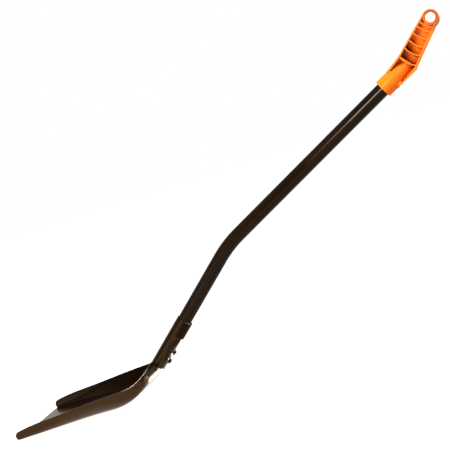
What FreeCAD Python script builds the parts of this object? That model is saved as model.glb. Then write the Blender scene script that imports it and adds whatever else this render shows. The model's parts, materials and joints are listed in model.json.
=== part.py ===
import FreeCAD, Part
import math
import os

# Steel pan shovel with a bent tubular shaft and a moulded D-grip.
# +X is across the pan, +Y runs from the cutting edge to the grip and +Z is up.
# The origin is the middle of the pan's flat underside. Sizes are millimetres and degrees.

Vector = FreeCAD.Vector

# ---- blade: one pressed sheet, pan and socket together ----
sheet = 1.8
blade_width = 350.0
flat_length = 211.5
heel_radius = 160.0
heel_angle = 42.0
front_wall_height = 18.0
front_wall_flare = 2.0
rear_wall_flare = 28.0
rear_wall_height = 43.0
corner_radius = 40.0
bend_radius_front = 3.0
bend_radius_middle = 20.0
bend_radius_rear = 40.0
bend_radius_back = 14.0
bend_change_place = 60.0
block_front = -30.0
back_wall_at_corner = 20.5
back_wall_at_socket = 28.5
riser_half_width = 124.0

# ---- socket, measured up the slope from the back wall ----
tube_radius = 16.0
tube_wall = 1.5
fit_gap = 0.1
axis_height = 10.9
socket_length = 122.0
socket_mouth_start = 82.0
socket_open_edge = 45.0
seam_width = 3.0
bolt_places = (22.0, 44.0)
bolt_radius = 3.0
bolt_hole_radius = 3.2
bolt_head_radius = 6.0
bolt_head_depth = 3.0
bolt_tail = 0.8
washer_length = 14.0
washer_thickness = 1.2
washer_half_angle = 62.0
nut_across_flats = 10.0
nut_height = 3.4
strap_thickness = 2.1
strap_half_angle = 88.0
plug_length = 74.0
plug_gap = 0.15

# ---- shaft ----
lower_run = 320.4
upper_run = 488.9
bend_drop = 14.7
bend_radius = 260.0
tube_in_grip = 62.0

# ---- grip, measured up the shaft from its lower end ----
ferrule_radius = 21.2
ferrule_length = 58.0
grip_half_width = 58.0
crossbar_place = (181.0, 35.0)
crossbar_radius = 18.0
crossbar_bore_radius = 10.5
crossbar_chamfer = 1.5
front_edge_angle = 15.8
rear_edge_angle = 21.4
knee_place = (86.0, -18.0)
shoulder_place = (76.0, 26.2)
rim = 3.2
arms_start = 30.0
front_swell = (48.0, 22.6)
rib_places = (77.5, 99.5, 118.0, 135.5, 151.5, 161.5)
barrel_radius = 17.8
rib_thickness = 2.2
rib_radius = 52.0
rib_lean = 18.6
grip_bolt_place = 27.0
grip_bolt_radius = 2.5
grip_bolt_head_radius = 5.0
grip_nut_across_flats = 8.0
grip_nut_height = 4.0
recess_depth = 3.6

slope = math.radians(heel_angle)
heel_end = Vector(
    0,
    flat_length + heel_radius * math.sin(slope),
    heel_radius * (1 - math.cos(slope)),
)
origin_shift = Vector(0, -flat_length / 2, 0)
outer_socket_radius = tube_radius + fit_gap + sheet
plug_radius = tube_radius - tube_wall - plug_gap


# ---- general helpers ----
def lateral_prism(edges, half_width):
    """Solid from a closed side outline in the YZ plane, from -half_width to +half_width in X."""
    face = Part.Face(Part.Wire(edges))
    face.translate(Vector(-half_width, 0, 0))
    return face.extrude(Vector(2 * half_width, 0, 0))


def side_polygon(points):
    """Edges of a closed polygon in the YZ plane, from (y, z) pairs."""
    corners = [Vector(0, y, z) for y, z in points]
    return Part.makePolygon(corners + corners[:1]).Edges


def rounded_loop(points):
    """Closed wire in the XY plane from (x, y, corner radius) points."""
    edges = []
    starts = []
    ends = []
    middles = []
    for number, (x, y, radius) in enumerate(points):
        here = Vector(x, y, 0)
        before = Vector(*points[number - 1][:2], 0)
        after = Vector(*points[(number + 1) % len(points)][:2], 0)
        to_before = (before - here).normalize()
        to_after = (after - here).normalize()
        half_turn = to_before.getAngle(to_after) / 2
        reach = radius / math.tan(half_turn)
        towards_centre = (to_before + to_after).normalize()
        starts.append(here + to_before * reach)
        ends.append(here + to_after * reach)
        middles.append(here + towards_centre * (radius / math.sin(half_turn) - radius))
    for number in range(len(points)):
        if points[number][2] > 0:
            edges.append(Part.Arc(starts[number], middles[number], ends[number]).toShape())
        edges.append(Part.makeLine(ends[number], starts[(number + 1) % len(points)]))
    return Part.Wire(edges)


def across_grip(loop, low, high):
    """Solid from a closed XY loop, from low to high in Z."""
    face = Part.Face(loop)
    face.translate(Vector(0, 0, low))
    return face.extrude(Vector(0, 0, high - low))


def cylinder(radius, length, start, direction):
    return Part.makeCylinder(radius, length, start, direction)


def hexagon_prism(across_flats, height, start, direction):
    """Hexagonal prism whose base centre is start."""
    corner_radius_of_hexagon = across_flats / math.sqrt(3)
    corners = [
        Vector(
            corner_radius_of_hexagon * math.cos(math.radians(60 * k)),
            corner_radius_of_hexagon * math.sin(math.radians(60 * k)),
            0,
        )
        for k in range(6)
    ]
    prism = Part.Face(Part.makePolygon(corners + corners[:1])).extrude(Vector(0, 0, height))
    turn = FreeCAD.Rotation(Vector(0, 0, 1), direction)
    prism.Placement = FreeCAD.Placement(start, turn)
    return prism


def save(name, shape):
    """Write one node, moved from the cutting edge to the row's origin."""
    placed = shape.copy()
    placed.translate(origin_shift)
    placed.exportStep("parts/" + name + ".step")
    solids = placed.Solids
    volume = sum(solid.Volume for solid in solids)
    print(name, "solids", len(solids), "valid", placed.isValid(), "volume", round(volume, 1))


# ---- frames of the socket and of the grip ----
def at_socket(shape):
    """From socket axes (x across, y up the slope, z out of the sheet) to the blade's axes."""
    moved = shape.copy()
    moved.Placement = FreeCAD.Placement(
        heel_end, FreeCAD.Rotation(Vector(1, 0, 0), heel_angle)
    ).multiply(moved.Placement)
    return moved


def up_slope(distance, height):
    """Point in the blade's axes from socket coordinates."""
    along = Vector(0, math.cos(slope), math.sin(slope))
    out = Vector(0, -math.sin(slope), math.cos(slope))
    return heel_end + along * distance + out * height


grip_slope = math.radians(heel_angle - bend_drop)
shaft_direction = Vector(0, math.cos(grip_slope), math.sin(grip_slope))
shaft_corner = up_slope(lower_run, axis_height)
grip_base = shaft_corner + shaft_direction * upper_run


def at_grip(shape):
    """From grip axes (x across, y up the shaft, z to its front) to the blade's axes."""
    moved = shape.copy()
    moved.Placement = FreeCAD.Placement(
        grip_base, FreeCAD.Rotation(Vector(1, 0, 0), heel_angle - bend_drop)
    ).multiply(moved.Placement)
    return moved


# ---- blade ----
def pan_block(inset):
    """Closed block inside the pan's outer skin, moved inwards by inset on every side."""
    half = half_pan_block(inset)
    other_half = half.mirror(Vector(0, 0, 0), Vector(1, 0, 0))
    return half.fuse(other_half).removeSplitter()


def half_pan_block(inset):
    """The +X half of the block, with its bends."""
    radius = heel_radius - inset
    end_angle = slope - inset / radius
    block_top = 90.0
    beyond = 500.0
    behind_heel = 360.0
    arc_start = Vector(0, flat_length, inset)
    arc_middle = Vector(
        0,
        flat_length + radius * math.sin(end_angle / 2),
        heel_radius - radius * math.cos(end_angle / 2),
    )
    arc_end = Vector(
        0,
        flat_length + radius * math.sin(end_angle),
        heel_radius - radius * math.cos(end_angle),
    )
    back_top = arc_end + Vector(0, -math.sin(slope), math.cos(slope)) * block_top
    front_top = Vector(0, block_front, back_top.z)
    front_foot = Vector(0, block_front, inset)
    bend_change = Vector(0, bend_change_place, inset)
    outline = [
        Part.makeLine(front_foot, bend_change),
        Part.makeLine(bend_change, arc_start),
        Part.Arc(arc_start, arc_middle, arc_end).toShape(),
        Part.makeLine(arc_end, back_top),
        Part.makeLine(back_top, front_top),
        Part.makeLine(front_top, front_foot),
    ]
    between_sides = Part.makeLoft(
        [
            flared_section(block_front - 10, front_wall_flare, front_wall_height, inset),
            flared_section(behind_heel, rear_wall_flare, rear_wall_height, inset),
        ],
        True,
        True,
    )
    positive_side = Part.makeBox(
        blade_width, 2 * beyond, 2 * beyond, Vector(0, -beyond, -beyond)
    )
    block = lateral_prism(outline, blade_width).common(between_sides).common(positive_side)
    upright = [edge for edge in block.Edges if is_back_corner(edge)]
    block = block.makeFillet(corner_radius - inset, upright)
    return bend_bottom(block, inset)


def flared_section(y, flare, rim_height, inset):
    """Trapezoid across the pan at y: full width at the rim, narrower below it."""
    lean = math.tan(math.radians(flare))
    wall_inset = inset / math.cos(math.radians(flare))
    low = -20.0
    high = 130.0

    def half_width(z):
        return blade_width / 2 - wall_inset + (z - rim_height) * lean

    corners = [
        Vector(-half_width(low), y, low),
        Vector(half_width(low), y, low),
        Vector(half_width(high), y, high),
        Vector(-half_width(high), y, high),
    ]
    return Part.makePolygon(corners + corners[:1])


def is_back_corner(edge):
    box = edge.BoundBox
    is_long = box.ZLength > 30 and box.XMin > blade_width / 4
    return is_long and box.YMin > flat_length and box.ZMax > 100


def is_bottom_edge(edge):
    """True for the edges between the floor and the walls, seen on the +X half."""
    box = edge.BoundBox
    is_low = box.ZMax < heel_end.z + 1 and box.YMax > block_front + 1
    is_back = box.YMin > heel_end.y - 5 and box.XMax > 1
    return is_low and (is_back or box.XMin > 1)


def bend_at(point):
    """Outer bend radius at the bottom of the wall: tight in front, wide at the heel."""
    bends = (
        (block_front, bend_radius_front),
        (bend_change_place, bend_radius_middle),
        (flat_length, bend_radius_rear),
    )
    for place, radius in bends:
        if abs(point.y - place) < 1:
            return radius
    return bend_radius_back


def bend_bottom(block, inset):
    """Round the edges between the floor and the walls with a changing radius."""
    rows = []
    for number, edge in enumerate(block.Edges, 1):
        if is_bottom_edge(edge):
            first = bend_at(edge.valueAt(edge.FirstParameter)) - inset
            last = bend_at(edge.valueAt(edge.LastParameter)) - inset
            rows.append((number, first, last))
    document = FreeCAD.newDocument("bend")
    base = document.addObject("Part::Feature", "Base")
    base.Shape = block
    fillet = document.addObject("Part::Fillet", "Bends")
    fillet.Base = base
    fillet.Edges = rows
    document.recompute()
    result = fillet.Shape.copy()
    FreeCAD.closeDocument("bend")
    return result


def below_rim():
    """Everything below the pan's rim, seen from the side, with the walls' rounded noses."""
    corner_top = up_slope(0, back_wall_at_corner)
    nose_foot = Vector(0, 0, 0.5)
    nose_tip = Vector(0, -3.5, 8.5)
    nose_top = Vector(0, 2.5, front_wall_height)
    rim_line = Part.BSplineCurve()
    rim_line.interpolate(
        [
            nose_top,
            Vector(0, 32, 23.2),
            Vector(0, 92, 27.9),
            Vector(0, 158, 33.0),
            Vector(0, 240, 38.4),
            Vector(0, 284, 44.0),
            corner_top,
        ]
    )
    below = -10.0
    behind = heel_end.y + 20
    edges = [
        Part.makeLine(Vector(0, 0, below), nose_foot),
        Part.Arc(nose_foot, nose_tip, nose_top).toShape(),
        rim_line.toShape(),
        Part.makeLine(corner_top, Vector(0, behind, corner_top.z)),
        Part.makeLine(Vector(0, behind, corner_top.z), Vector(0, behind, below)),
        Part.makeLine(Vector(0, behind, below), Vector(0, 0, below)),
    ]
    return lateral_prism(edges, blade_width)


def back_wall_riser():
    """The back wall's top, rising from the corners to the socket."""
    foot = bend_radius_back + 1
    loop = rounded_loop(
        [
            (-riser_half_width, foot, 0),
            (riser_half_width, foot, 0),
            (riser_half_width, back_wall_at_corner, 0),
            (outer_socket_radius, back_wall_at_socket, 0),
            (-outer_socket_radius, back_wall_at_socket, 0),
            (-riser_half_width, back_wall_at_corner, 0),
        ]
    )
    riser = Part.Face(loop).extrude(Vector(0, 0, sheet))
    riser.rotate(Vector(0, 0, 0), Vector(1, 0, 0), 90)
    return at_socket(riser)


def socket_shell():
    """Half pipe round the front of the tube that closes to a full ring at its mouth."""
    start = Vector(0, -sheet / 2, axis_height)
    up = Vector(0, 1, 0)
    shell = cylinder(outer_socket_radius, socket_length + sheet / 2, start, up)
    bore = cylinder(tube_radius + fit_gap, socket_length, Vector(0, 0, axis_height), up)
    mouth_foot = (socket_mouth_start, axis_height - outer_socket_radius)
    arc_start = Vector(0, 58.0, axis_height)
    arc_middle = Vector(0, 74.0, axis_height - 6.0)
    arc_end = Vector(0, *mouth_foot)
    low = -30.0
    open_back = [
        Part.makeLine(Vector(0, -5, 0), Vector(0, 0, 0)),
        Part.makeLine(Vector(0, 0, 0), Vector(0, socket_open_edge, axis_height)),
        Part.makeLine(Vector(0, socket_open_edge, axis_height), arc_start),
        Part.Arc(arc_start, arc_middle, arc_end).toShape(),
        Part.makeLine(arc_end, Vector(0, socket_mouth_start, low)),
        Part.makeLine(Vector(0, socket_mouth_start, low), Vector(0, -5, low)),
        Part.makeLine(Vector(0, -5, low), Vector(0, -5, 0)),
    ]
    seam = Part.makeBox(
        seam_width,
        socket_length,
        outer_socket_radius,
        Vector(-seam_width / 2, socket_open_edge, axis_height - outer_socket_radius - 1),
    )
    shell = shell.cut(bore).cut(lateral_prism(open_back, 40.0)).cut(seam)
    return at_socket(shell.cut(bolt_holes()))


def head_cone(place, clearance):
    """Countersunk head's cone, its wide end on the front of the socket."""
    top = axis_height + outer_socket_radius
    return Part.makeCone(
        bolt_radius + clearance,
        bolt_head_radius + clearance,
        bolt_head_depth,
        Vector(0, place, top - bolt_head_depth),
        Vector(0, 0, 1),
    )


def bolt_holes():
    clearance = bolt_hole_radius - bolt_radius
    holes = []
    for place in bolt_places:
        foot = Vector(0, place, axis_height - 40)
        holes.append(cylinder(bolt_hole_radius, 80, foot, Vector(0, 0, 1)))
        holes.append(head_cone(place, clearance))
    return holes[0].fuse(holes[1:])


def blade():
    tray = pan_block(0).cut(pan_block(sheet)).common(below_rim())
    return tray.fuse([back_wall_riser(), socket_shell()]).removeSplitter()


# ---- socket fittings, in socket axes ----
def socket_bolts():
    """Countersunk heads flush with the front of the socket, shanks through to the nuts."""
    inside = cylinder(
        outer_socket_radius, socket_length, Vector(0, 0, axis_height), Vector(0, 1, 0)
    )
    tail = tube_radius + washer_thickness + nut_height + bolt_tail
    bolts = []
    for place in bolt_places:
        foot = Vector(0, place, axis_height - tail)
        shank = cylinder(bolt_radius, tail + tube_radius, foot, Vector(0, 0, 1))
        head = head_cone(place, 0).common(inside)
        bolts.append(shank.fuse(head).removeSplitter())
    return at_socket(Part.makeCompound(bolts))


def saddle(start, length, inner_radius, thickness, half_angle):
    """Curved plate round the back of the tube."""
    up = Vector(0, 1, 0)
    base = Vector(0, start, axis_height)
    ring = cylinder(inner_radius + thickness, length, base, up)
    ring = ring.cut(cylinder(inner_radius, length, base, up))
    reach = 60.0
    spread = math.radians(half_angle)
    wedge_loop = Part.makePolygon(
        [
            Vector(0, start, axis_height),
            Vector(-reach * math.sin(spread), start, axis_height - reach * math.cos(spread)),
            Vector(0, start, axis_height - reach),
            Vector(reach * math.sin(spread), start, axis_height - reach * math.cos(spread)),
            Vector(0, start, axis_height),
        ]
    )
    wedge = Part.Face(wedge_loop).extrude(Vector(0, length, 0))
    return ring.common(wedge)


def saddle_washers():
    washers = [
        saddle(
            place - washer_length / 2,
            washer_length,
            tube_radius,
            washer_thickness,
            washer_half_angle,
        ).cut(bolt_holes())
        for place in bolt_places
    ]
    return at_socket(Part.makeCompound(washers))


def socket_nuts():
    seat = axis_height - tube_radius - washer_thickness
    nuts = []
    for place in bolt_places:
        start = Vector(0, place, seat - nut_height)
        nut = hexagon_prism(nut_across_flats, nut_height, start, Vector(0, 0, 1))
        ball_centre = start + Vector(0, 0, nut_height * 0.75)
        chamfer_ball = Part.makeSphere(nut_across_flats * 0.72, ball_centre)
        bore = cylinder(bolt_radius, nut_height, start, Vector(0, 0, 1))
        nuts.append(nut.common(chamfer_ball).cut(bore))
    return at_socket(Part.makeCompound(nuts))


def mouth_strap():
    """Strap welded over the rolled seam at the socket's mouth."""
    strap = saddle(
        socket_mouth_start,
        socket_length - socket_mouth_start,
        outer_socket_radius,
        strap_thickness,
        strap_half_angle,
    )
    return at_socket(strap)


def lower_plug():
    """Core that keeps the bolts from crushing the tube."""
    gap_to_wall = 1.0
    plug = cylinder(plug_radius, plug_length, Vector(0, gap_to_wall, axis_height), Vector(0, 1, 0))
    return at_socket(plug.cut(bolt_holes()))


# ---- shaft ----
def shaft_path():
    """Lower run, tangent arc and upper run along the tube's axis."""
    tangent = bend_radius * math.tan(math.radians(bend_drop) / 2)
    lower_direction = Vector(0, math.cos(slope), math.sin(slope))
    start = up_slope(0.5, axis_height)
    arc_start = shaft_corner - lower_direction * tangent
    arc_end = shaft_corner + shaft_direction * tangent
    towards_centre = (shaft_direction - lower_direction).normalize()
    centre_distance = bend_radius / math.cos(math.radians(bend_drop) / 2)
    arc_middle = shaft_corner + towards_centre * (centre_distance - bend_radius)
    end = grip_base + shaft_direction * tube_in_grip
    return Part.Wire(
        [
            Part.makeLine(start, arc_start),
            Part.Arc(arc_start, arc_middle, arc_end).toShape(),
            Part.makeLine(arc_end, end),
        ]
    )


def swept(radius):
    path = shaft_path()
    start = up_slope(0.5, axis_height)
    direction = Vector(0, math.cos(slope), math.sin(slope))
    section = Part.Wire(Part.makeCircle(radius, start, direction))
    return path.makePipeShell([section], True, False)


def shaft_tube():
    tube = swept(tube_radius).cut(swept(tube_radius - tube_wall))
    return tube.cut(at_socket(bolt_holes())).cut(at_grip(grip_bolt_hole()))


# ---- grip, in grip axes ----
def grip_bolt_hole():
    return cylinder(
        grip_bolt_radius + fit_gap, 80, Vector(0, grip_bolt_place, -40), Vector(0, 0, 1)
    )


def arm_side_points():
    """Corners of the arms seen from the side: knee, two tangents to the crossbar, shoulder."""
    bar = Vector(0, *crossbar_place)
    front = math.radians(front_edge_angle)
    rear = math.radians(rear_edge_angle)
    front_touch = bar + Vector(0, -math.sin(front), math.cos(front)) * crossbar_radius
    rear_touch = bar + Vector(0, math.sin(rear), -math.cos(rear)) * (crossbar_radius - 2)
    return Vector(0, *knee_place), rear_touch, bar, front_touch, Vector(0, *shoulder_place)


def grip_side():
    """The whole grip seen from the side, as a solid across its full width."""
    knee, rear_touch, bar, front_touch, shoulder = arm_side_points()
    ferrule_top = knee.y - 4
    edges = [
        Part.makeLine(
            Vector(0, arms_start, -ferrule_radius), Vector(0, ferrule_top, -ferrule_radius)
        ),
        Part.makeLine(Vector(0, ferrule_top, -ferrule_radius), knee),
        Part.makeLine(knee, rear_touch),
        Part.makeLine(rear_touch, bar),
        Part.makeLine(bar, front_touch),
        Part.makeLine(front_touch, shoulder),
        Part.makeLine(shoulder, Vector(0, *front_swell)),
        Part.makeLine(Vector(0, *front_swell), Vector(0, arms_start, ferrule_radius)),
        Part.makeLine(
            Vector(0, arms_start, ferrule_radius), Vector(0, arms_start, -ferrule_radius)
        ),
    ]
    return lateral_prism(edges, grip_half_width)


def grip_front():
    """The arms seen from the front, without the hand opening."""
    top = crossbar_place[0]
    arms = rounded_loop(
        [
            (-15.0, arms_start, 0),
            (15.0, arms_start, 0),
            (20.0, 57, 30),
            (55.5, 127, 45),
            (grip_half_width, top, 0),
            (-grip_half_width, top, 0),
            (-55.5, 127, 45),
            (-20.0, 57, 30),
        ]
    )
    hand = rounded_loop(
        [
            (-14.0, 88, 14),
            (14.0, 88, 14),
            (40.0, 128, 30),
            (42.0, top - 10, 12),
            (-42.0, top - 10, 12),
            (-40.0, 128, 30),
        ]
    )
    return across_grip(arms, -30, 70).cut(across_grip(hand, -30, 70))


def rib_circle(place, radius):
    """Disc across the arms, bowed towards the shaft, whose rim crosses the arm at place."""
    lean = math.radians(rib_lean)
    up_arm = Vector(0, math.cos(lean), math.sin(lean))
    middle_of_knee = Vector(0, 81.0, 3.5)
    foot = middle_of_knee + up_arm * ((place - middle_of_knee.y) / math.cos(lean))
    centre = foot + up_arm * rib_radius - Vector(80, 0, 0)
    return cylinder(radius, 160, centre, Vector(1, 0, 0))


def ribs():
    """Curved ribs across the channels, bowed towards the shaft."""
    bands = []
    for place in rib_places:
        outer = rib_circle(place, rib_radius + rib_thickness / 2)
        inner = rib_circle(place, rib_radius - rib_thickness / 2)
        near_half = Part.makeBox(160, rib_radius, 120, Vector(-80, place - 20, -60))
        bands.append(outer.cut(inner).common(near_half))
    return bands


def channel(side):
    """Open channel in the outer face of one arm, deep at the foot and shallow at the top."""
    knee, rear_touch, bar, front_touch, shoulder = arm_side_points()
    front = math.radians(front_edge_angle)
    rear = math.radians(rear_edge_angle)
    front_in = Vector(0, math.sin(front), -math.cos(front)) * rim
    rear_in = Vector(0, -math.sin(rear), math.cos(rear)) * rim
    outline = [
        shoulder + front_in,
        front_touch + front_in,
        rear_touch + rear_in,
        knee + rear_in,
    ]
    through = lateral_prism(side_polygon([(p.y, p.z) for p in outline]), 90)
    boss = cylinder(crossbar_radius - 2.5, 180, bar - Vector(90, 0, 0), Vector(1, 0, 0))
    above_first_rib = rib_circle(rib_places[0], rib_radius)
    floor_loop = rounded_loop(
        [
            (side * 12.0, 68, 0),
            (side * 44.0, 128, 45),
            (side * 53.5, 172, 0),
            (side * 53.5, 200, 0),
            (side * 90.0, 200, 0),
            (side * 90.0, 68, 0),
        ]
    )
    pocket = through.cut(boss).common(above_first_rib)
    return pocket.common(across_grip(floor_loop, -40, 80))


def flank_recesses():
    """Space beside the tapering barrel, between the front and rear flanges."""
    taper_start = 40.0
    taper_length = 38.0
    web_half_width = 8.0
    outer = 60.0
    beyond = 95.0
    up = Vector(0, 1, 0)
    outline = [
        (taper_start, 17.6),
        (shoulder_place[0], 22.4),
        (92.0, 26.6),
        (92.0, -13.0),
        (knee_place[0], -15.0),
        (taper_start, -18.4),
    ]
    taper = Part.makeCone(
        ferrule_radius, barrel_radius, taper_length, Vector(0, taper_start, 0), up
    )
    barrel = cylinder(barrel_radius, beyond - taper_start, Vector(0, taper_start, 0), up)
    first_rib = rib_circle(rib_places[0], rib_radius + rib_thickness / 2)
    solids = []
    for side in (-1, 1):
        face = Part.Face(Part.Wire(side_polygon(outline)))
        face.translate(Vector(side * web_half_width, 0, 0))
        slab = face.extrude(Vector(side * (outer - web_half_width), 0, 0))
        solids.append(slab.cut([taper, barrel, first_rib]))
    return solids


def crossbar_hollow():
    """Bore through the crossbar with a chamfer at each end."""
    across = Vector(1, 0, 0)
    start = Vector(-grip_half_width, *crossbar_place)
    end = Vector(grip_half_width, *crossbar_place)
    hollow = cylinder(crossbar_bore_radius, 2 * grip_half_width, start, across)
    mouth_radius = crossbar_bore_radius + crossbar_chamfer
    mouths = [
        Part.makeCone(mouth_radius, crossbar_bore_radius, crossbar_chamfer, start, across),
        Part.makeCone(mouth_radius, crossbar_bore_radius, crossbar_chamfer, end, across * -1),
    ]
    return hollow.fuse(mouths)


def d_grip():
    """One moulding: barrel over the shaft, two ribbed arms and a hollow crossbar."""
    up = Vector(0, 1, 0)
    bar = Vector(-grip_half_width, *crossbar_place)
    arms = grip_side().common(grip_front())
    crossbar = cylinder(crossbar_radius, 2 * grip_half_width, bar, Vector(1, 0, 0))
    ferrule = cylinder(ferrule_radius, ferrule_length, Vector(0, 0, 0), up)
    nose = Part.makeSphere(ferrule_radius, Vector(0, ferrule_length, 0))
    body = arms.fuse([crossbar, ferrule, nose]).removeSplitter()
    rib_set = ribs()
    for side in (-1, 1):
        body = body.cut(channel(side).cut(rib_set[0].fuse(rib_set[1:])))
    for recess in flank_recesses():
        body = body.cut(recess)
    bore = cylinder(tube_radius + fit_gap, tube_in_grip + 1, Vector(0, 0, 0), up)
    front_recess = cylinder(
        grip_bolt_head_radius + 0.3,
        recess_depth + 5,
        Vector(0, grip_bolt_place, ferrule_radius - recess_depth),
        Vector(0, 0, 1),
    )
    rear_recess = hexagon_prism(
        grip_nut_across_flats + 0.3,
        recess_depth + 5,
        Vector(0, grip_bolt_place, -ferrule_radius - 5),
        Vector(0, 0, 1),
    )
    body = body.cut(bore).cut(crossbar_hollow()).cut(grip_bolt_hole())
    return at_grip(body.cut(front_recess).cut(rear_recess))


def grip_bolt():
    """Button-headed bolt, sunk in the front of the barrel."""
    seat = ferrule_radius - recess_depth
    tail = seat + grip_nut_height - 1.0
    shank = cylinder(
        grip_bolt_radius, seat + tail, Vector(0, grip_bolt_place, -tail), Vector(0, 0, 1)
    )
    head_height = 2.6
    dome_radius = (grip_bolt_head_radius**2 + head_height**2) / (2 * head_height)
    crown = Vector(0, grip_bolt_place, seat + head_height - dome_radius)
    above_seat = cylinder(
        grip_bolt_head_radius, head_height, Vector(0, grip_bolt_place, seat), Vector(0, 0, 1)
    )
    key_hole = hexagon_prism(3.0, 3.0, Vector(0, grip_bolt_place, seat + 1.0), Vector(0, 0, 1))
    head = Part.makeSphere(dome_radius, crown).common(above_seat)
    return at_grip(shank.fuse(head).cut(key_hole).removeSplitter())


def grip_nut():
    seat = ferrule_radius - recess_depth
    start = Vector(0, grip_bolt_place, -seat - grip_nut_height)
    nut = hexagon_prism(grip_nut_across_flats, grip_nut_height, start, Vector(0, 0, 1))
    bore = cylinder(grip_bolt_radius, grip_nut_height, start, Vector(0, 0, 1))
    return at_grip(nut.cut(bore))


def upper_plug():
    """Plug in the tube's top end, drilled for the grip bolt."""
    gap_to_end = 1.0
    plug_start = 5.0
    length = tube_in_grip - gap_to_end - plug_start
    plug = cylinder(plug_radius, length, Vector(0, plug_start, 0), Vector(0, 1, 0))
    return at_grip(plug.cut(grip_bolt_hole()))


os.makedirs("parts", exist_ok=True)
save("blade", blade())
save("mouth_strap", mouth_strap())
save("socket_bolts", socket_bolts())
save("saddle_washers", saddle_washers())
save("socket_nuts", socket_nuts())
save("lower_plug", lower_plug())
save("shaft_tube", shaft_tube())
save("upper_plug", upper_plug())
save("d_grip", d_grip())
save("grip_bolt", grip_bolt())
save("grip_nut", grip_nut())
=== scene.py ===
import bpy
import json
import math
from mathutils import Matrix, Vector


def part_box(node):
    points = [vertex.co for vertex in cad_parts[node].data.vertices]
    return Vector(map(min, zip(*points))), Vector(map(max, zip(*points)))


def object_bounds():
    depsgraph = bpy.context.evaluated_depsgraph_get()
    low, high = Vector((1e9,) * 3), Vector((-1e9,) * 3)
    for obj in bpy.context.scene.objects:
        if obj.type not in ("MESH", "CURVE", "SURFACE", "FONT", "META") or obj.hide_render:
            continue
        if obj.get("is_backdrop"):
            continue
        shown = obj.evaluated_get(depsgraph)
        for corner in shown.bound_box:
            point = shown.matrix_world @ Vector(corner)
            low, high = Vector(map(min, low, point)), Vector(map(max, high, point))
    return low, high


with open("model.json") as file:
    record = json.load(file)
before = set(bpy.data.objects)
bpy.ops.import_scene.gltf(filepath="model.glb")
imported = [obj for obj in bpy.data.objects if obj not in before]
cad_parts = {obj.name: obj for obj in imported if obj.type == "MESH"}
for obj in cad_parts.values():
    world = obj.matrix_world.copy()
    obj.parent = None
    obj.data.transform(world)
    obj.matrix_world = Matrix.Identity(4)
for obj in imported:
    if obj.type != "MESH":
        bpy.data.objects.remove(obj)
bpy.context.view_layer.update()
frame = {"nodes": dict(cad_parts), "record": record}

nodes = frame["nodes"]

# The upper shaft and the grip lie along shaft_axis. Their front side faces along shaft_front.
shaft_slope = math.radians(27.3)
shaft_axis = Vector((0.0, math.cos(shaft_slope), math.sin(shaft_slope)))
shaft_front = Vector((0.0, -math.sin(shaft_slope), math.cos(shaft_slope)))
hang_bore = next(m for m in frame["record"]["mounts"] if m["name"] == "hang_bore")
bore_centre = Vector(hang_bore["pos_m"])
bore_radius = hang_bore["dims"]["r_mm"] / 1000


# ---------------------------------------------------------------- node helpers
NOISE_BAND = (0.35, 0.65)  # holds most of a noise's values
EDGE_BAND = (0.80, 0.97)  # cosine between a surface's own and its rounded normal
MIX_BASE, MIX_COLOUR, MIX_RESULT = 6, 7, 2  # colour sockets of a Mix node
WHITE = (1.0, 1.0, 1.0)


class Graph:
    """Adds and wires the nodes of one node tree."""

    def __init__(self, tree):
        self.tree = tree
        tree.nodes.clear()

    def node(self, kind, **values):
        made = self.tree.nodes.new(kind)
        for key, value in values.items():
            setattr(made, key, value)
        return made

    def link(self, source, output, target, socket):
        self.tree.links.new(source.outputs[output], target.inputs[socket])

    def ramp(self, source, output, stops):
        """Colours by value; each stop is a place and a colour."""
        made = self.node("ShaderNodeValToRGB")
        elements = made.color_ramp.elements
        while len(elements) < len(stops):
            elements.new(0.5)
        for element, (place, colour) in zip(elements, stops):
            element.position = place
            element.color = (*colour, 1.0)
        self.link(source, output, made, "Fac")
        return made

    def spread(self, source, output, band, low=0.0, high=1.0, **settings):
        """A value that is low up to the band's start and high from its end on."""
        made = self.node("ShaderNodeMapRange", **settings)
        made.inputs["From Min"].default_value = band[0]
        made.inputs["From Max"].default_value = band[1]
        made.inputs["To Min"].default_value = low
        made.inputs["To Max"].default_value = high
        self.link(source, output, made, "Value")
        return made

    def times(self, first, first_output, second, second_output):
        made = self.node("ShaderNodeMath", operation="MULTIPLY")
        self.link(first, first_output, made, 0)
        self.link(second, second_output, made, 1)
        return made

    def along(self, source, output, direction):
        """How far a place or a direction reaches along another direction."""
        made = self.node("ShaderNodeVectorMath", operation="DOT_PRODUCT")
        self.link(source, output, made, 0)
        made.inputs[1].default_value = direction
        return made

    def parts(self, source, output):
        """The X, Y and Z of a vector."""
        made = self.node("ShaderNodeSeparateXYZ")
        self.link(source, output, made, "Vector")
        return made

    def size(self, source, output):
        """A number without its sign."""
        made = self.node("ShaderNodeMath", operation="ABSOLUTE")
        self.link(source, output, made, 0)
        return made


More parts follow.
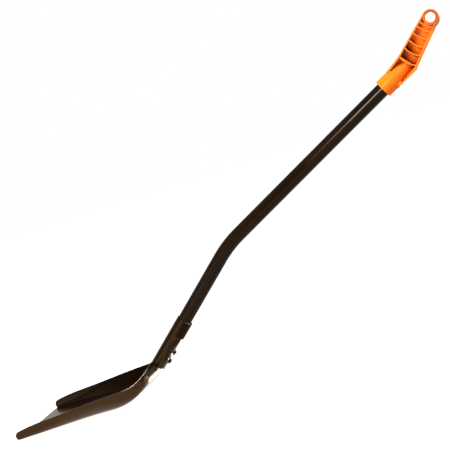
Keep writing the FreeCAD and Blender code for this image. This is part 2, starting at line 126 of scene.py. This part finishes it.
class Paint(Graph):
    """A material with a Principled shader, laid out in the frame's own coordinates."""

    def __init__(self, name):
        self.mat = bpy.data.materials.new(name)
        self.mat.use_nodes = True
        super().__init__(self.mat.node_tree)
        out = self.node("ShaderNodeOutputMaterial")
        self.bsdf = self.node("ShaderNodeBsdfPrincipled")
        self.link(self.bsdf, "BSDF", out, "Surface")
        self.coord = self.node("ShaderNodeTexCoord")

    def set(self, **values):
        for key, value in values.items():
            self.bsdf.inputs[key.replace("_", " ")].default_value = value

    def noise(self, scale, detail, roughness=0.5):
        made = self.node("ShaderNodeTexNoise")
        made.inputs["Scale"].default_value = scale
        made.inputs["Detail"].default_value = detail
        made.inputs["Roughness"].default_value = roughness
        self.link(self.coord, "Object", made, "Vector")
        return made

    def edges(self, radius):
        """1 on sharp edges, 0 elsewhere."""
        round_normal = self.node("ShaderNodeBevel", samples=6)
        round_normal.inputs["Radius"].default_value = radius
        surface = self.node("ShaderNodeNewGeometry")
        match = self.node("ShaderNodeVectorMath", operation="DOT_PRODUCT")
        self.link(round_normal, "Normal", match, 0)
        self.link(surface, "Normal", match, 1)
        return self.spread(match, "Value", EDGE_BAND, low=1.0, high=0.0)

    def mix(self, factor, factor_output, base, base_output, colour):
        """Base colour turning into a plain colour where the factor is 1."""
        made = self.node("ShaderNodeMix", data_type="RGBA")
        self.link(factor, factor_output, made, "Factor")
        self.link(base, base_output, made, MIX_BASE)
        made.inputs[MIX_COLOUR].default_value = (*colour, 1.0)
        return made

    def bump(self, source, strength, distance, below=None):
        """Relief from a noise, on top of another relief where one is given."""
        made = self.node("ShaderNodeBump")
        made.inputs["Strength"].default_value = strength
        made.inputs["Distance"].default_value = distance
        self.link(source, "Fac", made, "Height")
        if below is not None:
            self.link(below, "Normal", made, "Normal")
        return made


# ---------------------------------------------------------------- enamel and paint
# Bands in the frame's metres: what they limit starts at the first value and is full at the second.
EVERYWHERE = (-0.002, -0.001)  # below every Y and |X| of a piece that uses it
PAN_REAR = (0.145, 0.175)  # Y
PAN_CORNERS = (0.070, 0.090)  # |X|
STRAP_UPPER_RIM = (0.298, 0.302)  # Y
BACK_FACE = (0.1995, 0.2015)  # Y, where the pan's outer back face begins
BELOW_RIM = (0.055, 0.065)  # Z, where the painted sheen ends
BESIDE_SOCKET = (0.018, 0.023)  # |X|, past the socket's side


def enamel(name, dark, light, roughness, peel, ior, tint, edge_highlight, painted_sheen=None):
    """Brown-black paint with orange peel.

    The argument after tint gives thin edges with a painted highlight: colour, radius, and their
    bands in Y and |X|.
    The last argument gives the colour of a brown sheen painted on the pan's outer back face.
    """
    m = Paint(name)
    cloud = m.noise(scale=9.0, detail=5.0, roughness=0.6)
    painted = m.ramp(cloud, "Fac", [(NOISE_BAND[0], dark), (NOISE_BAND[1], light)])
    smear = m.noise(scale=34.0, detail=6.0, roughness=0.65)
    rough = m.spread(smear, "Fac", NOISE_BAND, *roughness)
    m.link(rough, "Result", m.bsdf, "Roughness")

    # Thin edges with a painted highlight, kept to the bands in Y and |X|.
    edge_colour, edge_radius, lengthwise, sideways = edge_highlight
    edge = m.edges(edge_radius)
    place = m.parts(m.coord, "Object")
    off_middle = m.size(place, "X")
    rear = m.spread(place, "Y", lengthwise)
    corner = m.spread(off_middle, "Value", sideways)
    edge_highlight_mask = m.times(edge, "Result", rear, "Result")
    edge_highlight_mask = m.times(edge_highlight_mask, "Value", corner, "Result")
    painted = m.mix(edge_highlight_mask, "Value", painted, "Color", edge_colour)
    # A brown sheen painted on the pan's outer back face, which the lights leave dark.
    if painted_sheen is not None:
        behind = m.spread(place, "Y", BACK_FACE)
        below = m.spread(place, "Z", BELOW_RIM, low=1.0, high=0.0)
        beside = m.spread(off_middle, "Value", BESIDE_SOCKET)
        sheen_mask = m.times(behind, "Result", below, "Result")
        sheen_mask = m.times(sheen_mask, "Value", beside, "Result")
        painted = m.mix(sheen_mask, "Value", painted, MIX_RESULT, painted_sheen)
    m.link(painted, MIX_RESULT, m.bsdf, "Base Color")

    fine = m.noise(scale=420.0, detail=2.0)
    wide = m.noise(scale=60.0, detail=2.0)
    relief = m.bump(wide, strength=0.12, distance=0.0004 * peel)
    relief = m.bump(fine, strength=0.10, distance=0.0001 * peel, below=relief)
    m.link(relief, "Normal", m.bsdf, "Normal")
    m.set(IOR=ior, Specular_Tint=(*tint, 1.0))
    return m.mat


blade_mat = enamel(
    "blade_enamel",
    dark=(0.003, 0.0015, 0.0006),
    light=(0.005, 0.0024, 0.0010),
    roughness=(0.10, 0.17),
    peel=1.0,
    ior=1.5,
    tint=(1.0, 0.60, 0.30),
    # The pan's rear corner rims get a pale painted highlight.
    edge_highlight=((0.95, 0.87, 0.76), 0.0030, PAN_REAR, PAN_CORNERS),
    # A brown painted sheen on the pan's outer back face.
    painted_sheen=(0.048, 0.030, 0.018),
)
strap_mat = enamel(
    "strap_enamel",
    dark=(0.002, 0.0011, 0.0005),
    light=(0.004, 0.0020, 0.0009),
    roughness=(0.12, 0.20),
    peel=1.0,
    ior=1.26,
    tint=(1.0, 0.60, 0.30),
    # The strap's upper rim gets a pale painted highlight.
    edge_highlight=((0.90, 0.74, 0.66), 0.0012, STRAP_UPPER_RIM, EVERYWHERE),
)
shaft_mat = enamel(
    "shaft_paint",
    dark=(0.006, 0.0030, 0.0012),
    light=(0.009, 0.0042, 0.0018),
    roughness=(0.06, 0.09),
    peel=0.5,
    ior=1.28,
    tint=(1.0, 0.8, 0.62),
    # Every sharp edge of the tube gets a faint painted highlight.
    edge_highlight=((0.30, 0.26, 0.21), 0.0012, EVERYWHERE, EVERYWHERE),
)


# ---------------------------------------------------------------- zinc
def zinc(name):
    """Zinc plate, much darker than plain zinc, with a few bright patches and paler edges that are
    painted glints.
    """
    # Much darker than plain zinc.
    darkened_zinc = (0.020, 0.016, 0.012)
    bright = (0.62, 0.56, 0.52)
    edge_glint = (0.22, 0.20, 0.18)
    m = Paint(name)
    cloud = m.noise(scale=150.0, detail=2.0)
    # Bright patches painted as glints.
    colour = m.ramp(cloud, "Fac", [(0.56, darkened_zinc), (0.64, bright)])
    # Paler edges painted as glints.
    plated = m.mix(m.edges(radius=0.0003), "Result", colour, "Color", edge_glint)
    m.link(plated, MIX_RESULT, m.bsdf, "Base Color")
    rough = m.spread(cloud, "Fac", NOISE_BAND, low=0.22, high=0.36)
    m.link(rough, "Result", m.bsdf, "Roughness")
    fine = m.noise(scale=900.0, detail=3.0, roughness=0.6)
    m.link(m.bump(fine, strength=0.15, distance=0.0001), "Normal", m.bsdf, "Normal")
    m.set(Metallic=1.0)
    return m.mat


zinc_mat = zinc("zinc_plate")


# ---------------------------------------------------------------- orange moulding
# Bands along shaft_axis, in metres from the frame's origin.
GRIP_LENGTH = (1.0, 1.2)  # nearly the grip's whole length
CROSSBAR = (1.160, 1.185)  # from just below the crossbar to its axis
CROSSBAR_SHADE_STRENGTH = 0.9  # how much of the painted shade's colour the crossbar has
HOLLOW_WIDTH = 0.034
OPENNESS = (0.20, 0.90)  # from a hollow's bottom to an open face
# Strength of the hollows' shade by place in GRIP_LENGTH, from 0 at its start to 1 at its end.
HOLLOW_SHADE = [(0.38, 0.4), (0.44, 1.0), (0.50, 1.0), (0.66, 0.22)]
BORE_POLISH = 0.05  # roughness inside the hanging bore, as a part of the moulding's
BORE_SKIN = (0.0003, 0.0010)  # metres outside the bore's radius


def orange(name):
    """Bright moulding, with painted shade in the hollows and on the crossbar, pale rims painted as
    highlights, and a smooth bore.
    """
    deep = (0.16, 0.008, 0.0015)
    crossbar_shade_colour = (0.42, 0.066, 0.006)
    pale = (1.0, 0.42, 0.11)
    m = Paint(name)
    cloud = m.noise(scale=14.0, detail=4.0, roughness=0.55)
    plain = m.ramp(cloud, "Fac", [(0.3, (0.97, 0.165, 0.0035)), (0.7, (1.0, 0.185, 0.0050))])
    lengthwise = m.along(m.coord, "Object", shaft_axis)
    # Painted shade: the crossbar darkens from just below it to its axis and on above it.
    crossbar = m.spread(lengthwise, "Value", CROSSBAR, high=CROSSBAR_SHADE_STRENGTH)
    colour = m.mix(crossbar, "Result", plain, "Color", crossbar_shade_colour)

    # Painted shade in the hollows, from ambient occlusion, strongest near the grip's foot.
    openness = m.node("ShaderNodeAmbientOcclusion", samples=16)
    openness.inputs["Distance"].default_value = HOLLOW_WIDTH
    depth = m.spread(openness, "AO", OPENNESS, low=1.0, high=0.0)
    up_grip = m.spread(lengthwise, "Value", GRIP_LENGTH)
    shades = [(place, (level, level, level)) for place, level in HOLLOW_SHADE]
    shade = m.times(depth, "Result", m.ramp(up_grip, "Result", shades), "Color")
    colour = m.mix(shade, "Value", colour, MIX_RESULT, deep)

    # Pale rims painted as highlights along the grip.
    rims = m.times(m.edges(radius=0.0012), "Result", up_grip, "Result")
    colour = m.mix(rims, "Value", colour, MIX_RESULT, pale)
    m.link(colour, MIX_RESULT, m.bsdf, "Base Color")

    smear = m.noise(scale=50.0, detail=5.0, roughness=0.6)
    rough = m.spread(smear, "Fac", NOISE_BAND, low=0.36, high=0.48)
    place = m.parts(m.coord, "Object")
    side_on = m.node("ShaderNodeCombineXYZ")
    m.link(place, "Y", side_on, "Y")
    m.link(place, "Z", side_on, "Z")
    from_bore = m.node("ShaderNodeVectorMath", operation="DISTANCE")
    m.link(side_on, "Vector", from_bore, 0)
    from_bore.inputs[1].default_value = (0.0, bore_centre.y, bore_centre.z)
    skin = [bore_radius + step for step in BORE_SKIN]
    polish = m.spread(from_bore, "Value", skin, low=BORE_POLISH)
    m.link(m.times(rough, "Result", polish, "Result"), "Value", m.bsdf, "Roughness")

    fine = m.noise(scale=700.0, detail=3.0, roughness=0.6)
    wide = m.noise(scale=55.0, detail=2.0)
    relief = m.bump(wide, strength=0.10, distance=0.0004)
    relief = m.bump(fine, strength=0.04, distance=0.00012, below=relief)
    m.link(relief, "Normal", m.bsdf, "Normal")
    m.set(IOR=1.35, Specular_Tint=(1.0, 0.75, 0.45, 1.0))
    return m.mat


orange_mat = orange("orange_moulding")


# ---------------------------------------------------------------- hidden plugs
def core_plastic(name):
    """Plain black moulding of the two plugs inside the tube."""
    m = Paint(name)
    cloud = m.noise(scale=40.0, detail=4.0, roughness=0.6)
    colour = m.ramp(cloud, "Fac", [(0.3, (0.03, 0.03, 0.03)), (0.7, (0.05, 0.05, 0.05))])
    m.link(colour, "Color", m.bsdf, "Base Color")
    m.link(m.spread(cloud, "Fac", NOISE_BAND, low=0.5, high=0.65), "Result", m.bsdf, "Roughness")
    return m.mat


core_mat = core_plastic("core_plastic")

# ---------------------------------------------------------------- the pieces' looks
# Each node's material, its slot in the record, and the radius of its softened edges.
look = {
    "blade": (blade_mat, "enamel", 0.0005),
    "mouth_strap": (strap_mat, "enamel", 0.0005),
    "shaft_tube": (shaft_mat, "tube_paint", 0.0),
    "socket_bolts": (zinc_mat, "zinc", 0.0003),
    "saddle_washers": (zinc_mat, "zinc", 0.0002),
    "socket_nuts": (zinc_mat, "zinc", 0.0004),
    "lower_plug": (core_mat, "core", 0.0),
    "upper_plug": (core_mat, "core", 0.0),
    "d_grip": (orange_mat, "orange", 0.0006),
    "grip_bolt": (zinc_mat, "zinc", 0.0002),
    "grip_nut": (zinc_mat, "zinc", 0.0003),
}
sharp_edge = math.radians(40)
for name, (material, slot, rounding) in look.items():
    piece = nodes[name]
    piece.data.materials.clear()
    piece.data.materials.append(material)
    if rounding > 0:
        bevel = piece.modifiers.new("edge", "BEVEL")
        bevel.width = rounding
        bevel.segments = 2
        bevel.limit_method = "ANGLE"
        bevel.angle_limit = sharp_edge
        bevel.harden_normals = True

# ---------------------------------------------------------------- camera
# Azimuth 0 looks along +Y and 90 along -X. The roll tips the pan's cutting edge down.
camera_azimuth = math.radians(99.9222)
camera_elevation = math.radians(2.7292)
camera_roll = math.radians(-17.9708)
camera_place = Vector((3.52461, 1.06772, 0.47878))
camera_back = Vector(
    (
        math.sin(camera_azimuth) * math.cos(camera_elevation),
        -math.cos(camera_azimuth) * math.cos(camera_elevation),
        math.sin(camera_elevation),
    )
)
level_turn = (-camera_back).to_track_quat("-Z", "Y").to_matrix()
camera_turn = level_turn @ Matrix.Rotation(camera_roll, 3, "Z")
camera_data = bpy.data.cameras.new("camera")
camera_data.sensor_width = 36.0
camera_data.lens = 128.0
camera = bpy.data.objects.new("camera", camera_data)
bpy.context.scene.collection.objects.link(camera)
camera.matrix_world = Matrix.Translation(camera_place) @ camera_turn.to_4x4()
bpy.context.scene.camera = camera

# ---------------------------------------------------------------- floor
low, high = (Vector(corner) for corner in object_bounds())
floor_half = 30.0
floor_gap = 0.0005
floor_mesh = bpy.data.meshes.new("floor")
corners = [(-1, -1), (1, -1), (1, 1), (-1, 1)]
floor_mesh.from_pydata(
    [(floor_half * x, floor_half * y, 0) for x, y in corners], [], [(0, 1, 2, 3)]
)
floor = bpy.data.objects.new("floor", floor_mesh)
bpy.context.scene.collection.objects.link(floor)
floor.location.z = low.z - floor_gap


def floor_white(name):
    """White to the camera. Reflections see it warm, and dimmer behind the heel and far away."""
    behind_heel = (0.22, 0.34)  # Y, in metres
    far_side = (-1.3, -0.8)  # X, in metres
    warm_white = (0.96, 0.82, 0.64)
    camera_level = 0.97
    m = Paint(name)
    greys = [(0.3, (0.24, 0.24, 0.24)), (0.7, (0.26, 0.26, 0.26))]
    m.link(m.ramp(m.noise(scale=0.6, detail=2.0), "Fac", greys), "Color", m.bsdf, "Base Color")
    m.set(Roughness=0.9)
    place = m.parts(m.coord, "Object")
    near = m.spread(place, "Y", behind_heel, low=0.97, high=0.40)
    far = m.spread(place, "X", far_side, low=0.10)
    glow = m.times(near, "Result", far, "Result")
    path = m.node("ShaderNodeLightPath")
    tint = m.node("ShaderNodeMix", data_type="RGBA")
    m.link(path, "Is Camera Ray", tint, "Factor")
    tint.inputs[MIX_BASE].default_value = (*warm_white, 1.0)
    tint.inputs[MIX_COLOUR].default_value = (*WHITE, 1.0)
    m.link(tint, MIX_RESULT, m.bsdf, "Emission Color")
    level = m.node("ShaderNodeMix")
    m.link(path, "Is Camera Ray", level, "Factor")
    m.link(glow, "Value", level, "A")
    level.inputs["B"].default_value = camera_level
    m.link(level, "Result", m.bsdf, "Emission Strength")
    return m.mat


floor_mesh.materials.append(floor_white("floor_white"))
floor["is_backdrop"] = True

# ---------------------------------------------------------------- room
# The room is dim and warm on the side away from dim_side, and nearly dark towards it.
warm = (1.0, 0.84, 0.66)
brown = (1.0, 0.66, 0.40)
dim_side = (0.75, 0.0, 0.66)
room_shades = [(0.0, 0.6, warm), (0.30, 0.45, warm), (0.55, 0.05, brown), (1.0, 0.03, brown)]
# A bright wall at each end, before the cutting edge and behind the grip.
wall_edge = (0.28, 0.43)  # |Y| of a direction
wall_top = (0.30, 0.50)  # Z of a direction
wall_above = 0.16
wall_colour = (1.25, 1.20, 1.16)
horizon = (0.03, 0.10)  # Z of a direction
horizon_shade = 0.08


def studio_light(world):
    """A white backdrop for the camera, and the room for everything else."""
    g = Graph(world.node_tree)
    coord = g.node("ShaderNodeTexCoord")
    facing = g.along(coord, "Generated", dim_side)
    shades = [(place, [level * part for part in tint]) for place, level, tint in room_shades]
    room = g.ramp(g.spread(facing, "Value", (-1.0, 1.0)), "Result", shades)
    direction = g.parts(coord, "Generated")
    above_floor = g.spread(direction, "Z", horizon, low=horizon_shade)
    dimmed = g.node("ShaderNodeVectorMath", operation="SCALE")
    g.link(room, "Color", dimmed, 0)
    g.link(above_floor, "Result", dimmed, "Scale")

    ends = g.size(direction, "Y")
    wall = g.spread(ends, "Value", wall_edge, interpolation_type="SMOOTHSTEP")
    upward = g.spread(direction, "Z", wall_top, low=1.0, high=wall_above)
    glow = g.node("ShaderNodeVectorMath", operation="SCALE")
    glow.inputs[0].default_value = wall_colour
    g.link(g.times(wall, "Result", upward, "Result"), "Value", glow, "Scale")

    both = g.node("ShaderNodeVectorMath", operation="ADD")
    g.link(dimmed, "Vector", both, 0)
    g.link(glow, "Vector", both, 1)
    unseen = g.node("ShaderNodeBackground")
    g.link(both, "Vector", unseen, "Color")
    seen = g.node("ShaderNodeBackground")
    seen.inputs["Color"].default_value = (*WHITE, 1.0)
    choice = g.node("ShaderNodeMixShader")
    g.link(g.node("ShaderNodeLightPath"), "Is Camera Ray", choice, "Fac")
    g.link(unseen, "Background", choice, 1)
    g.link(seen, "Background", choice, 2)
    g.link(choice, "Shader", g.node("ShaderNodeOutputWorld"), "Surface")


world = bpy.data.worlds.new("studio")
bpy.context.scene.world = world
world.use_nodes = True
studio_light(world)


# ---------------------------------------------------------------- lights
def panel(name, place, target, width, height, power, colour=WHITE):
    """A rectangular light at a place, facing a target."""
    data = bpy.data.lights.new(name, "AREA")
    data.shape = "RECTANGLE"
    data.size = width
    data.size_y = height
    data.energy = power
    data.color = colour
    lamp = bpy.data.objects.new(name, data)
    bpy.context.scene.collection.objects.link(lamp)
    lamp.location = place
    lamp.rotation_euler = (target - place).to_track_quat("-Z", "Y").to_euler()
    return lamp


def mirrored_panel(name, place, target, width, height, brightness, colour=WHITE):
    """A panel of a given brightness that is seen in glossy surfaces and lights no others."""
    power = brightness * math.pi * width * height
    lamp = panel(name, place, target, width, height, power, colour)
    lamp.visible_diffuse = False
    return lamp


# The key light is soft, and leaves no reflection of its own.
middle = (low + high) / 2
key_direction = Vector((0.52, -0.30, 0.78)).normalized()
key_distance = 3.0
key_size = 1.2
key_place = middle + key_direction * key_distance
key = panel("key", key_place, middle, key_size, key_size, power=190)
key.visible_glossy = False


def seen_in_shaft(point, turn):
    """Direction that the camera sees mirrored in the shaft, turn radians to its front."""
    view = (point - camera_place).normalized()
    side = (-view - shaft_axis * -view.dot(shaft_axis)).normalized()
    front = (shaft_front - side * shaft_front.dot(side)).normalized()
    normal = side * math.cos(turn) + front * math.sin(turn)
    return (view - normal * 2 * view.dot(normal)).normalized()


# A window, mirrored as a narrow line along the upper shaft and the grip's barrel. Each pane
# has a start and an end along the shaft, from the barrel's middle, and a brightness.
barrel = sum((Vector(corner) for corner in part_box("upper_plug")), Vector()) / 2
window_distance = 1.6
window_width = 0.50
window_colour = (0.85, 1.0, 1.25)
window_direction = seen_in_shaft(barrel, math.radians(12.5))
window_side = window_direction.cross(shaft_axis).normalized()
window_up = window_direction.cross(window_side)
window_turn = Matrix((window_side, window_up, window_direction)).transposed().to_euler()
panes = [
    ("window", -0.19, 0.20, 20.0),
    ("window_lower", -0.28, -0.19, 8.0),
    ("window_foot", -0.37, -0.28, 3.0),
]
for name, start, end, brightness in panes:
    place = barrel + shaft_axis * (start + end) / 2 + window_direction * window_distance
    pane = mirrored_panel(
        name, place, barrel, window_width, end - start, brightness, window_colour
    )
    pane.rotation_euler = window_turn

# White cards seen only in reflections: one on the floor behind the heel, and one on the grip's
# far side. Each has a place, the way it faces, a width, a height and a brightness.
tube_foot = Vector(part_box("shaft_tube")[0])
heel_card = Vector((-0.19, tube_foot.y + 0.05, floor.location.z + 0.001))
grip_card = bore_centre + Vector((-1.5, 0.027, 0.068))
cards = [
    ("heel_card", heel_card, Vector((0, 0, 1)), 0.42, 0.11, 2.6),
    ("grip_card", grip_card, Vector((1, 0, 0)), 0.42, 0.34, 3.0),
]
for name, place, facing, width, height, brightness in cards:
    card = mirrored_panel(name, place, place + facing, width, height, brightness)
    card.visible_camera = False

bpy.context.scene.view_settings.view_transform = "Standard"
